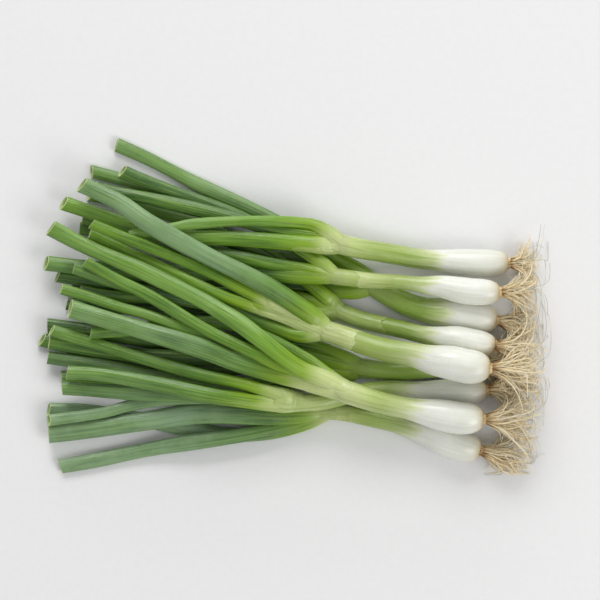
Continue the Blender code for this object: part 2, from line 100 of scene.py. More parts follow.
def make_table():
    """A flat square of matt card just below the lowest bulbs."""
    mesh = bpy.data.meshes.new("table")
    corners = [(x * TABLE_HALF, y * TABLE_HALF, -TABLE_DROP)
               for x, y in ((-1, -1), (1, -1), (1, 1), (-1, 1))]
    mesh.from_pydata(corners, [], [(0, 1, 2, 3)])
    material, tree, shader = new_finish("pale_card", CARD_ROUGHNESS)
    where = add_node(tree, "TexCoord").outputs["Object"]
    grain = noise(tree, where, CARD_LUMPS)
    level = spread(tree, grain, 0.3, 0.7, TABLE_GREY - TABLE_FLECK, TABLE_GREY + TABLE_FLECK)
    tree.links.new(add_node(tree, "CombineColor", {0: level, 1: level, 2: level}).outputs[0],
                   shader.inputs["Base Color"])
    mesh.materials.append(material)
    table = bpy.data.objects.new("table", mesh)
    bpy.context.scene.collection.objects.link(table)


def make_lamps():
    """Rectangular soft lamps that face the bunch, and an even room light."""
    for name, at, size, power in LAMPS:
        light = bpy.data.lights.new(name, "AREA")
        light.shape = "RECTANGLE"
        light.size, light.size_y = size
        light.energy = power
        obj = bpy.data.objects.new(name, light)
        obj.location = at
        obj.rotation_euler = (-obj.location).to_track_quat("-Z", "Y").to_euler()
        bpy.context.scene.collection.objects.link(obj)
    world = bpy.data.worlds.new("pale_room")
    world.use_nodes = True
    room = world.node_tree.nodes["Background"]
    room.inputs["Color"].default_value = (1.0, 1.0, 1.0, 1.0)
    room.inputs["Strength"].default_value = ROOM_STRENGTH
    bpy.context.scene.world = world


def make_view():
    """The camera looks straight down, with the top onion at the top."""
    camera = bpy.data.objects.new("view", bpy.data.cameras.new("view"))
    camera.data.lens = LENS
    camera.location = (*VIEW_MIDDLE, VIEW_HEIGHT)
    bpy.context.scene.collection.objects.link(camera)
    bpy.context.scene.camera = camera
    bpy.context.scene.view_settings.view_transform = "Standard"


make_table()
make_lamps()
make_view()

# The bulbs and shanks
# Each onion's stem is a white bulb rounded at its root plate, which runs on as a shank
# of rolled leaf bases. The onions lie loose, each as low as those below it allow.
MM = 0.001
DRAWN_MIDDLE = (-1.85, -1.75)
STATION = 3.0
ROUTE_STEPS = 24
CLEARANCE = 1.85
DROOP_RADIUS = 260.0
STIFF_REACH = 2
RELAX_STEPS = 4000
SMOOTHED = 5
SHARED_STATIONS = 3
FUSED_LENGTH = 26.0
PARTING_LENGTH = 30.0
PLATE_RADIUS = 3.4
WIDEST_FROM_PLATE = 13.0
FLAT_SPOT = 6.0
LEAF_START = 3.2
LEAF_START_WIDTH = 0.56
LEAF_OPENS_OVER = 30.0
LEAF_FLATNESS = 0.54
BASE_FLATNESS = 0.80
TIP_WIDTH = 0.94
NARROWS_FROM = 0.5
SHARP_EDGE = math.radians(50.0)

# The onions, lowest first. Radii are those of the bulb, of the shank at its thinnest and
# of its green end. Green is how far from the plate the shank turns green, how deep that
# green is and how pale the split is. A leaf is its width, its brightness and bloom, how
# far it stays pale, and its route to the cut tip, lowest leaf first. The depth of green is
# partly the onion's own and partly a painted highlight, set paler on the upper onions. The
# brightness is partly the leaf's own green and partly painted light: darker on leaves in
# the pile's shade, brighter on a top leaf under a highlight.
ONIONS = [
    {"name": "onion_3", "longest_root": 31.0, "radii": (10.0, 7.2, 6.5), "taper": 34.0,
     "green": (34.0, 0.85, 0.2),
     "shank": [(121, -9), (108, -6.8), (93, -4.6), (81, -3.2), (69, 0.2), (57, 6.2), (49, 10.8)],
     "leaves": [
         (8.0, (0.35, 0.1), 4,
          [(36, 17), (18, 23), (0, 28), (-20, 31), (-45, 33), (-80, 37), (-112, 43), (-130, 47)]),
         (9.0, (0.1, 0.05), 4,
          [(36, 9), (24, 8.8), (12, 10), (3, 11.5), (-15, 13), (-39, 13), (-69, 10.5), (-105, 10),
           (-135, 14)]),
         (8.0, (0.5, 0.35), 4,
          [(33, 20), (15, 30), (-9, 43), (-39, 55), (-63, 63), (-87, 71), (-105, 76.5), (-123, 81)]),
         (8.6, (0.5, 0.4), 4,
          [(39, 20), (27, 28), (9, 39), (-9, 49.5), (-26, 58), (-57, 72), (-87, 87.5), (-108, 97)]),
     ]},
    {"name": "onion_9", "longest_root": 32.0, "radii": (6.3, 5.7, 6.2), "taper": 30.0,
     "green": (18.0, 0.9, 0.15),
     "shank": [(106, -35.6), (96, -35.8), (81, -37.6), (63, -39.5), (52, -39.3), (42, -38)],
     "leaves": [
         (8.5, (0.25, 0.1), 4,
          [(30, -42.5), (15, -45), (0, -46), (-30, -47), (-75, -47), (-110, -45.5), (-141, -44)]),
         (8.5, (0.3, 0.1), 4,
          [(30, -40), (15, -38.5), (0, -37), (-20, -36.5), (-45, -38), (-81, -36), (-117, -30),
           (-153, -20.5)]),
         (9.5, (0.2, 0.1), 4,
          [(30, -32.5), (15, -26.5), (0, -23.5), (-21, -20.5), (-57, -21), (-87, -21), (-117, -16.5),
           (-149.5, -12.5)]),
         (9.5, (0.25, 0.1), 4,
          [(30, -36), (15, -32), (-3, -29), (-33, -30), (-63, -31.5), (-93, -30), (-117, -27),
           (-148, -22)]),
     ]},
    {"name": "onion_8", "longest_root": 32.0, "radii": (9.7, 5.6, 5.1), "taper": 38.0,
     "green": (42.0, 0.45, 0.5),
     "shank": [(111, -87), (99, -84), (90, -81), (81, -76.5), (69, -73), (57, -70), (45, -67.5), (33, -65),
               (24, -64)],
     "leaves": [
         (9.0, (0.3, 0.9), 8,
          [(6, -71), (-15, -76.5), (-39, -78), (-63, -75), (-93, -69), (-123, -64), (-149, -63)]),
         (9.4, (0.35, 0.9), 6,
          [(9, -68.5), (-9, -73.5), (-33, -78), (-57, -81.7), (-87, -86.6), (-117, -92.6), (-142, -97.2)]),
         (12.4, (0.3, 0.95), 6,
          [(3, -66), (-21, -66), (-57, -65), (-87, -69), (-117, -73.3), (-148.5, -77)]),
         (7.2, (0.4, 0.85), 8,
          [(3, -60), (-27, -57), (-57, -55.5), (-81, -57), (-99, -60), (-117, -64.5), (-148, -69)]),
     ]},
    {"name": "onion_4", "longest_root": 33.0, "radii": (8.1, 5.2, 5.5), "taper": 27.0,
     "green": (38.0, 0.75, 0.45),
     "shank": [(119, -24), (106, -22), (96, -20), (87, -19), (75, -17), (63, -14), (51, -11.5), (39, -8.5),
               (30, -5)],
     "leaves": [
         (8.0, (0.05, 0.05), 4,
          [(15, -6.5), (-5, -8), (-30, -7), (-60, -4), (-90, -2.5), (-118, -1), (-138, 1)]),
         (8.0, (0.1, 0.1), 4,
          [(18, 0), (3, 4.5), (-15, 6), (-39, 7.5), (-69, 9), (-99, 12), (-123, 15), (-143, 18)]),
         (7.6, (0.2, 0.05), 4,
          [(15, -4), (-3, -2), (-27, 1.5), (-57, 3), (-87, 4.5), (-111, 6), (-129, 9)]),
         (8.0, (0.45, 0.15), 4,
          [(21, 3), (6, 15), (-15, 30), (-36, 40), (-57, 49), (-78, 55.5), (-93, 60), (-124, 67)]),
     ]},
    {"name": "onion_2", "longest_root": 29.0, "radii": (8.0, 4.3, 5.0), "taper": 38.0,
     "green": (41.0, 0.4, 0.3),
     "shank": [(121.5, 8), (108, 8.2), (99, 9.2), (87, 11.5), (75, 12.5), (63, 14), (51, 14.5), (39, 15.5),
               (27, 17)],
     "leaves": [
         (10.2, (0.5, 0.3), 0,
          [(3, 18), (-18, 20), (-39, 20), (-69, 19.5), (-99, 20), (-123, 22.5), (-149.5, 25.5)]),
         (8.0, (0.3, 0.15), 4,
          [(15, 26), (-3, 37.5), (-27, 50), (-48, 59), (-87, 74), (-104, 81)]),
         (7.6, (0.4, 0.1), 2,
          [(3, 22), (-15, 25), (-33, 29), (-54, 33), (-75, 37.5), (-93, 42), (-111, 48), (-128, 52)]),
     ]},
    {"name": "onion_6", "longest_root": 38.0, "radii": (8.0, 5.1, 5.3), "taper": 32.0,
     "green": (47.0, 0.5, 0.6),
     "shank": [(115, -51), (100, -51.9), (90, -51.9), (75, -51.4), (60, -50), (45, -51), (33, -53.5),
               (18, -57), (8, -57.8)],
     "leaves": [
         (8.4, (0.3, 0.3), 12,
          [(-21, -52), (-57, -47), (-87, -42), (-117, -36), (-149, -31.5)]),
         (9.0, (0.35, 0.4), 14,
          [(-21, -57), (-57, -54), (-87, -52.5), (-117, -51), (-140, -49.5)]),
         (9.0, (0.5, 0.3), 20,
          [(-9, -59), (-33, -56), (-57, -52), (-87, -46), (-117, -41), (-136, -40)]),
         (7.4, (0.6, 0.15), 20,
          [(-6, -54), (-21, -49.5), (-33, -46), (-57, -41), (-87, -33), (-111, -25.5), (-129, -20),
           (-146, -15)]),
     ]},
    {"name": "onion_1", "longest_root": 26.0, "radii": (8.2, 6.0, 6.1), "taper": 34.0,
     "green": (45.0, 0.35, 0.85),
     "shank": [(128, 25.5), (112, 25.6), (93, 26.6), (75, 28), (63, 30), (51, 32), (39, 34), (30, 36)],
     "leaves": [
         (8.4, (0.25, 0.1), 4,
          [(18, 40.5), (3, 43), (-15, 46), (-33, 51), (-57, 57), (-87, 64), (-108, 68), (-120, 71)]),
         (9.5, (0.75, 0.1), 8,
          [(18, 36), (3, 37), (-21, 39), (-45, 40.5), (-63, 40.5), (-78, 42), (-93, 46), (-111, 52),
           (-139, 61.5)]),
         (6.6, (0.95, 0.25), 8,
          [(15, 46.5), (3, 49.6), (-27, 50.4), (-57, 49), (-72, 46.5), (-87, 44), (-99, 42)]),
     ]},
    {"name": "onion_5", "longest_root": 38.0, "radii": (10.2, 6.9, 6.3), "taper": 32.0,
     "green": (41.0, 0.45, 0.85),
     "shank": [(115, -37), (102, -36), (93, -34), (81, -32), (69, -29), (57, -27), (45, -24), (33, -20),
               (21, -16)],
     "leaves": [
         (7.6, (0.3, 0.2), 6,
          [(3, -18), (-12, -13.5), (-27, -7), (-42, -1.5), (-63, 3), (-87, 8), (-111, 15), (-132, 22.5)]),
         (7.0, (0.75, 0.0), 38,
          [(3, -10.5), (-12, -5), (-21, -2), (-39, 4), (-57, 12), (-87, 26), (-105, 34.5), (-123, 43)]),
         (6.8, (0.6, 0.0), 38,
          [(3, -7.5), (-12, 0), (-20, 4), (-33, 10.5), (-57, 22.5), (-87, 35), (-105, 42), (-121, 48.6)]),
         (11.2, (0.5, 0.75), 0,
          [(12, -8), (3, -1), (-15, 10.5), (-33, 20), (-57, 32), (-87, 49), (-105, 61.5), (-127, 72)]),
     ]},
    {"name": "onion_7", "longest_root": 41.0, "radii": (9.7, 6.4, 6.8), "taper": 30.0,
     "green": (41.0, 0.25, 0.9),
     "shank": [(112, -67.5), (99, -67), (92, -66), (81, -64), (69, -61.5), (57, -59), (45, -56), (33, -52)],
     "leaves": [
         (8.0, (0.5, 0.15), 8,
          [(12, -35.5), (3, -30), (-6, -25), (-18, -19), (-36, -12), (-57, -10), (-87, -13.5),
           (-122, -16.5)]),
         (6.8, (0.8, 0.2), 22,
          [(3, -41), (-21, -31.5), (-48, -21), (-63, -15), (-87, -6), (-105, -1), (-123, 5), (-140, 10)]),
         (11.6, (0.5, 0.5), 26,
          [(15, -47), (3, -44), (-9, -41), (-33, -34), (-57, -25), (-87, -16), (-111, -9), (-134, -2)]),
         (7.5, (0.65, 0.1), 26,
          [(15, -43.5), (0, -38), (-12, -34), (-22, -29), (-33, -24), (-57, -12), (-87, 6), (-105, 15),
           (-125, 26)]),
         (10.2, (0.9, 0.25), 18,
          [(18, -44), (3, -37.5), (-9, -29), (-21, -19.5), (-33, -10.5), (-45, -3), (-57, 4), (-87, 19),
           (-105, 27), (-126, 36), (-146, 46.5)]),
     ]},
]


def smoothstep(t):
    """0 before t = 0, 1 after t = 1, and an even rise between them."""
    t = np.clip(t, 0.0, 1.0)
    return t * t * (3.0 - 2.0 * t)


def smooth_route(points):
    """Stations at even steps along a Catmull-Rom curve through the route's points."""
    route = np.array(points, float) - DRAWN_MIDDLE
    knots = np.vstack([2 * route[0] - route[1], route, 2 * route[-1] - route[-2]])
    t = np.linspace(0.0, 1.0, ROUTE_STEPS, endpoint=False)[:, None]
    spans = []
    for a, b, c, d in zip(knots[:-3], knots[1:-2], knots[2:-1], knots[3:]):
        spans.append(0.5 * (2 * b + (c - a) * t + (2 * a - 5 * b + 4 * c - d) * t**2
                            + (3 * b - a - 3 * c + d) * t**3))
    dense = np.vstack(spans + [route[-1:]])
    run = np.concatenate([[0.0], np.cumsum(np.linalg.norm(np.diff(dense, axis=0), axis=1))])
    even = np.linspace(0.0, run[-1], max(2, round(run[-1] / STATION) + 1))
    return np.column_stack([np.interp(even, run, dense[:, i]) for i in range(2)]), even


def shank_radius(run, radii, taper):
    """Rounded from the root plate to the widest ring, then an S-shaped taper to the
    thinnest place and an even change to the green end."""
    bulb, thin, end = radii
    near = np.clip(run / WIDEST_FROM_PLATE, 0.0, 1.0)
    round_end = PLATE_RADIUS + (bulb - PLATE_RADIUS) * np.sqrt(1.0 - (1.0 - near) ** 2)
    past = run - WIDEST_FROM_PLATE - FLAT_SPOT
    to_end = smoothstep((past - taper) / (run[-1] - WIDEST_FROM_PLATE - taper))
    narrow = bulb + (thin - bulb) * smoothstep(past / taper) + (end - thin) * to_end
    return np.where(run < WIDEST_FROM_PLATE, round_end, narrow)


def narrowing(share):
    """A leaf's width by the share of its run: 1 at first, then an S down to the tip's."""
    return 1.0 - (1.0 - TIP_WIDTH) * smoothstep((share - NARROWS_FROM) / (1.0 - NARROWS_FROM))


def leaf_half_width(run, width, start):
    """Grows from its start inside the neck to its full width, then narrows a little."""
    opened = smoothstep(run / LEAF_OPENS_OVER)
    return (start + (width / 2 - start) * opened) * narrowing(run / run[-1])


def leaf_flatness(run):
    """Height over width: nearly round at the neck, a flat oval further on."""
    return BASE_FLATNESS + (LEAF_FLATNESS - BASE_FLATNESS) * smoothstep(run / LEAF_OPENS_OVER)


def clearing_height(strand, other, parting):
    """The lowest height of the strand's axis that clears another strand: where their
    plans overlap, the other's height plus the ellipse that two ovals need."""
    start = other["plan"][:-1]
    along = other["plan"][1:] - start
    offset = strand["plan"][:, None] - start[None]
    share = np.clip((offset * along).sum(2) / (along**2).sum(1), 0.0, 1.0)
    away = np.linalg.norm(offset - share[..., None] * along[None], axis=2)

    def there(name):
        value = other[name]
        return value[:-1] + share * (value[1:] - value[:-1])

    reach = strand["half_width"][:, None] + there("half_width")
    tall = strand["half_height"][:, None] + there("half_height")
    over = tall * np.sqrt(np.clip(1.0 - (away / reach) ** 2, 0.0, 1.0)) + CLEARANCE
    height = there("height") + parting[:, None] * over
    return np.where(away < reach, height, 0.0).max(axis=1)


def lay(strand, laid, siblings, fixed):
    """Gives the strand the lowest line that clears the table and what is laid: the
    height is at least the needed one, and elsewhere it sags between its supports at
    the droop radius. The first fixed stations keep the heights they have."""
    apart = np.ones(len(strand["run"]))
    need = strand["half_height"].copy()
    for other in laid:
        need = np.maximum(need, clearing_height(strand, other, apart))
    parting = smoothstep((strand["run"] - FUSED_LENGTH) / PARTING_LENGTH)
    for other in siblings:
        need = np.maximum(need, clearing_height(strand, other, parting))
    rigid = strand.get("widest", -1) + 1
    need[:rigid] = need[:rigid].max(initial=0.0)
    stiff = need.copy()
    for shift in range(1, STIFF_REACH + 1):
        stiff[shift:] = np.maximum(stiff[shift:], need[:-shift])
        stiff[:-shift] = np.maximum(stiff[:-shift], need[shift:])
    stiff[: len(fixed)] = fixed
    sag = STATION**2 / (2.0 * DROOP_RADIUS)
    height = stiff.copy()
    for _ in range(RELAX_STEPS):
        padded = np.concatenate([[height[0]], height, [height[-1]]])
        height = np.maximum(stiff, 0.5 * (padded[:-2] + padded[2:]) - sag)
        height[: len(fixed)] = fixed
    padded = np.pad(height, SMOOTHED // 2, mode="edge")
    soft = np.convolve(padded, np.ones(SMOOTHED) / SMOOTHED, "valid")
    soft[0] = height[0]
    soft[: len(fixed)] = fixed
    soft = soft if len(fixed) else np.maximum(soft, need)
    soft[:rigid] = soft[:rigid].max(initial=0.0)
    strand["height"] = soft


def plan_of_shank(onion):
    """The shank's stations with their radii, round in section."""
    plan, run = smooth_route(onion["shank"])
    radius = shank_radius(run, onion["radii"], onion["taper"])
    widest = int(np.searchsorted(run, WIDEST_FROM_PLATE + FLAT_SPOT)) - 1
    return {"plan": plan, "run": run, "half_width": radius, "half_height": radius.copy(),
            "widest": widest}


def plan_of_leaf(onion, shank, width, looks, pale, points):
    """The leaf's stations with their oval sections, from inside the neck to the tip."""
    end = shank["plan"][-1]
    heading = end - shank["plan"][-2]
    first = end + heading / np.linalg.norm(heading) * LEAF_START + DRAWN_MIDDLE
    plan, run = smooth_route([first] + list(points))
    half_width = leaf_half_width(run, width, LEAF_START_WIDTH * onion["radii"][2])
    return {"plan": plan, "run": run, "half_width": half_width,
            "half_height": half_width * leaf_flatness(run), "width": width,
            "looks": looks, "pale": pale}


def lay_bunch():
    """Lays every shank and leaf in turn and returns the onions with their strands."""
    laid, bunch = [], []
    for onion in ONIONS:
        shank = plan_of_shank(onion)
        leaves = [plan_of_leaf(onion, shank, *leaf) for leaf in onion["leaves"]]
        lead = leaves[0]
        joined = {name: np.concatenate([shank[name], lead[name]])
                  for name in ("plan", "half_width", "half_height")}
        joined["run"] = np.concatenate([shank["run"], shank["run"][-1] + LEAF_START + lead["run"]])
        joined["widest"] = shank["widest"]
        lay(joined, laid, [], ())
        count = len(shank["run"])
        shank["height"] = joined["height"][:count]
        lead["height"] = joined["height"][count:]
        siblings = [lead]
        for leaf in leaves[1:]:
            lay(leaf, laid, siblings, lead["height"][:SHARED_STATIONS])
            siblings.append(leaf)
        laid += [shank] + siblings
        bunch.append({**onion, "shank": shank, "leaves": leaves})
    return bunch


def along_curve(values, run, at):
    """Values at any places along a run: a cubic between each two stations, whose
    slopes are those of the line through their neighbours."""
    values = np.asarray(values, float)
    slopes = np.gradient(values, run, axis=0)
    i = np.clip(np.searchsorted(run, at, side="right") - 1, 0, len(run) - 2)
    step = run[i + 1] - run[i]
    t = np.clip((at - run[i]) / step, -1.0, 2.0)
    if values.ndim > 1:
        step = step[:, None]
        t = t[:, None]
    return ((2 * t**3 - 3 * t**2 + 1) * values[i] + (t**3 - 2 * t**2 + t) * step * slopes[i]
            + (3 * t**2 - 2 * t**3) * values[i + 1] + (t**3 - t**2) * step * slopes[i + 1])


def round_turns(count):
    """Even turns right round a ring, in radians."""
    return np.arange(count) * 2.0 * math.pi / count


def tube_points(line, run, at, wide, tall, turns, push=0.0):
    """A grid of points round a line at places along its run: centre + across times wide
    times cos(turn) + up times tall times sin(turn) + heading times push. Wide, tall and
    push hold one value for each ring, or one for each ring and turn."""
    centre = along_curve(line, run, at)
    heading = (along_curve(line, run, at + 1.0) - along_curve(line, run, at - 1.0))[:, :2]
    heading /= np.linalg.norm(heading, axis=1)[:, None]
    across = np.column_stack([-heading[:, 1], heading[:, 0]])
    sideways = np.reshape(wide, (len(at), -1)) * np.cos(turns)
    upwards = np.reshape(tall, (len(at), -1)) * np.sin(turns)
    push = np.broadcast_to(push, sideways.shape)
    flat = (centre[:, None, :2] + sideways[..., None] * across[:, None]
            + push[..., None] * heading[:, None])
    return np.dstack([flat, centre[:, None, 2] + upwards])


def closed_faces(rings, around, first, folded):
    """Corner numbers of a closed tube: quads between neighbouring rings, and at each end
    a fan of triangles to a middle point that follows the rings. A folded tube, whose
    rings run out along one sheet and back along another, is closed between the sheets."""
    place = first + np.arange(rings * around).reshape(rings, around)
    beside = np.roll(place, -1, axis=1)
    quads = np.stack([place[:-1], beside[:-1], beside[1:], place[1:]], axis=2).reshape(-1, 4)
    if folded:
        caps = []
        for ring, way in ((place[0], -1), (place[-1], 1)):
            sheet, back = ring[: around // 2], ring[: around // 2 - 1: -1]
            caps += [np.stack([sheet[:-1], sheet[1:], back[:-1]][::way], axis=1),
                     np.stack([sheet[1:], back[1:], back[:-1]][::way], axis=1)]
        return quads, np.vstack(caps)
    start, end = first + rings * around, first + rings * around + 1
    lid = np.stack([np.full(around, start), beside[0], place[0]], axis=1)
    floor = np.stack([np.full(around, end), place[-1], beside[-1]], axis=1)
    return quads, np.vstack([lid, floor])


def with_ends(grid, folded):
    """A grid's values as rows, ring by ring, then those of its two end points, which are
    the means of the first and of the last ring. A folded grid has no end points."""
    rows = grid.reshape(-1, grid.shape[-1])
    return rows if folded else np.vstack([rows, grid[0].mean(axis=0), grid[-1].mean(axis=0)])


def make_piece(name, tubes, finish, replaced=None):
    """One mesh object from closed tubes. A tube is its grid of points in millimetres,
    its marks, which are named values for each point, and whether it is folded."""
    points, quads, fans, marks = [], [], [], {}
    count = 0
    for grid, values, folded in tubes:
        rings, around = grid.shape[:2]
        points.append(with_ends(grid, folded))
        four, three = closed_faces(rings, around, count, folded)
        quads.append(four)
        fans.append(three)
        for mark, value in values.items():
            value = value if mark == "grain" else np.asarray(value)[..., None]
            value = np.broadcast_to(value, (rings, around, value.shape[-1]))
            marks.setdefault(mark, []).append(with_ends(value, folded))
        count += len(points[-1])
    mesh = bpy.data.meshes.new(name)
    points = np.vstack(points) * MM
    quads, fans = np.vstack(quads), np.vstack(fans)
    mesh.vertices.add(len(points))
    mesh.vertices.foreach_set("co", points.astype(np.float32).ravel())
    mesh.loops.add(quads.size + fans.size)
    mesh.loops.foreach_set("vertex_index", np.concatenate([quads.ravel(), fans.ravel()]))
    starts = np.concatenate([np.arange(len(quads)) * 4, quads.size + np.arange(len(fans)) * 3])
    mesh.polygons.add(len(starts))
    mesh.polygons.foreach_set("loop_start", starts)
    for mark, parts in marks.items():
        kind = "FLOAT_VECTOR" if mark == "grain" else "FLOAT"
        layer = mesh.attributes.new(mark, kind, "POINT")
        field = "vector" if mark == "grain" else "value"
        layer.data.foreach_set(field, np.vstack(parts).astype(np.float32).ravel())
    mesh.update(calc_edges=True)
    mesh.shade_smooth()
    mesh.set_sharp_from_angle(angle=SHARP_EDGE)
    mesh.materials.append(finish)
    piece = bpy.data.objects.new(name, mesh)
    bpy.context.scene.collection.objects.link(piece)
    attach(piece, "root")
    if replaced:
        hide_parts(replaced)


def seen(red, green, blue):
    """A colour as a screen shows it, 0 to 255, turned into linear light."""
    value = np.array([red, green, blue]) / 255.0
    linear = np.where(value <= 0.04045, value / 12.92, ((value + 0.055) / 1.055) ** 2.4)
    return (*linear.tolist(), 1.0)


def ramp(tree, value, stops):
    """A colour that runs through the stops as the value rises."""
    made = add_node(tree, "ValToRGB", {"Fac": value})
    band = made.color_ramp
    while len(band.elements) < len(stops):
        band.elements.new(0.5)
    for element, (place, colour) in zip(band.elements, stops):
        element.position = place
        element.color = colour
    return made.outputs[0]


def math_node(tree, operation, first, second, clamp=False):
    """One sum on two values, such as ADD or MULTIPLY, held to 0 to 1 if it is clamped."""
    return add_node(tree, "Math", {0: first, 1: second}, operation=operation,
                    use_clamp=clamp).outputs[0]


def mix(tree, share, first, second, how="MIX"):
    """One colour laid over another by a share of 0 to 1."""
    made = add_node(tree, "Mix", data_type="RGBA", blend_type=how)
    for index, value in ((0, share), (6, first), (7, second)):
        if isinstance(value, bpy.types.NodeSocket):
            tree.links.new(value, made.inputs[index])
        else:
            made.inputs[index].default_value = value
    return made.outputs[2]


def moved(tree, value, pattern, by, clamp=False):
    """The value plus a part that goes from -by to +by with the pattern."""
    return math_node(tree, "ADD", value, spread(tree, pattern, 0.3, 0.7, -by, by), clamp)


def bump(tree, shader, height, distance):
    """Raises the surface by a height pattern of the given depth in metres."""
    made = add_node(tree, "Bump", {"Height": height, "Distance": distance, "Strength": 1.0})
    tree.links.new(made.outputs[0], shader.inputs["Normal"])


bunch = lay_bunch()

SHANK_AROUND = 56
SHANK_STEP = 1.2
ROUND_RINGS = 16
SHANK_UNEVEN = 0.022
UNEVEN_OVER = 20.0
SEAM_RINGS = ((0.8, 0.98), (2.0, 0.95))
PALE_BEFORE = 22.0
PALE_FADE = 14.0
AWAY_SPAN = 100.0
GRAIN_RADIUS = 4.0
GRAIN_SHIFT = 0.37
WAVE_RUNS = (20, 45)
DRIFT_RUN = 30.0
GREENING_SPAN = 46.0
STAIN_SPAN = 3.0
SLANT = 0.05
WIDE_VEINS = 300.0
FINE_VEINS = 1200.0
PATCHES = 70.0
WRINKLES = 420.0
RELIEF = 0.0008
SKIN_WHITE = seen(232, 233, 225)
SKIN_SHADE = seen(214, 217, 198)
SKIN_IVORY = seen(216, 221, 188)
SKIN_PALE_GREEN = seen(198, 208, 154)
SKIN_LIME = seen(183, 198, 120)
SKIN_GREEN = seen(122, 152, 54)
SKIN_STREAK = seen(112, 144, 48)
PLATE_STAIN = seen(186, 162, 108)
SPLIT_PALE = seen(202, 214, 150)
SPLIT_GREEN = seen(146, 178, 30)
BRIGHT_GREEN = seen(114, 158, 28)
# Deep leaf green: partly the leaf's own colour, partly painted shade within the pile.
DEEP_GREEN = seen(46, 84, 26)
BLOOM_GREEN = seen(140, 168, 132)
VEIN_GREEN = seen(128, 164, 62)
CUT_GREEN = seen(182, 200, 134)
# Inside of a hollow leaf tip: partly the inner wall's own green, partly painted shade in the hollow.
INNER_GREEN = seen(70, 112, 38)


def grain_marks(turns, along, shift):
    """Places for the lengthwise grain: round the strand on a fixed small radius, so
    that the pattern meets itself, and along it, moved on for each strand."""
    rings = len(along)
    return np.dstack([np.tile(np.cos(turns) * GRAIN_RADIUS * MM, (rings, 1)),
                      np.tile(np.sin(turns) * GRAIN_RADIUS * MM, (rings, 1)),
                      np.tile((along * MM + shift)[:, None], (1, len(turns)))])


def shank_colour(tree, marks, turned, fine, patch):
    """White, ivory, pale green and lime as the skin turns green, then the onion's depth
    of green, partly its own and partly a painted highlight that makes the upper onions paler,
    darker veins, faint shade on the white, and a tan stain at the plate."""
    shank = ramp(tree, turned, [(0.0, SKIN_WHITE), (0.38, SKIN_WHITE), (0.48, SKIN_IVORY),
                                (0.58, SKIN_PALE_GREEN), (1.0, SKIN_LIME)])
    started = spread(tree, turned, 0.50, 0.80)
    # The depth mark is partly the onion's own green and partly a painted highlight on the upper onions.
    shank = mix(tree, math_node(tree, "MULTIPLY", started, marks["depth"]), shank, SKIN_GREEN)
    veins = math_node(tree, "MULTIPLY", spread(tree, fine, 0.50, 0.68, 0.0, 0.55), started)
    shank = mix(tree, veins, shank, SKIN_STREAK)
    for pattern, low, high, start, end in ((patch, 0.35, 0.75, 0.0, 0.35),
                                           (fine, 0.34, 0.52, 0.25, 0.0)):
        shade = spread(tree, pattern, low, high, start, end)
        shank = mix(tree, shade, shank, SKIN_SHADE, "MULTIPLY")
    stain = math_node(tree, "MULTIPLY", marks["foot"], spread(tree, fine, 0.2, 0.8, 0.7, 1.2),
                      clamp=True)
    return mix(tree, stain, shank, PLATE_STAIN)


def leaf_colour(tree, marks, away, wide, fine, patch):
    """Deep to bright green by the leaf's brightness and noise, yellow-green near the
    split, light and dark veins, and a waxy bloom that comes in towards the tip. The deep green
    and the brightness are partly the leaf's own colour and partly painted light: shade on
    leaves lying low in the pile, a highlight on a top leaf."""
    level = moved(tree, moved(tree, marks["brightness"], wide, 0.3), patch, 0.15, True)
    # The mix from deep to bright green is partly painted shade and highlight, not only leaf colour.
    leaf = mix(tree, level, DEEP_GREEN, BRIGHT_GREEN)
    leaf = mix(tree, spread(tree, away, 0.04, 0.36, 0.9, 0.0), leaf, SPLIT_GREEN)
    leaf = mix(tree, spread(tree, fine, 0.50, 0.68, 0.0, 0.55), leaf, VEIN_GREEN)
    leaf = mix(tree, spread(tree, fine, 0.32, 0.49, 0.55, 0.0), leaf, DEEP_GREEN)
    bloom = math_node(tree, "MULTIPLY", marks["bloom"], spread(tree, patch, 0.25, 0.7, 0.4, 1.0))
    bloom = math_node(tree, "MULTIPLY", bloom, spread(tree, away, 0.25, 0.8, 0.1, 1.0))
    bloom = math_node(tree, "MULTIPLY", bloom, spread(tree, fine, 0.34, 0.5, 0.7, 1.0))
    return mix(tree, bloom, leaf, BLOOM_GREEN)


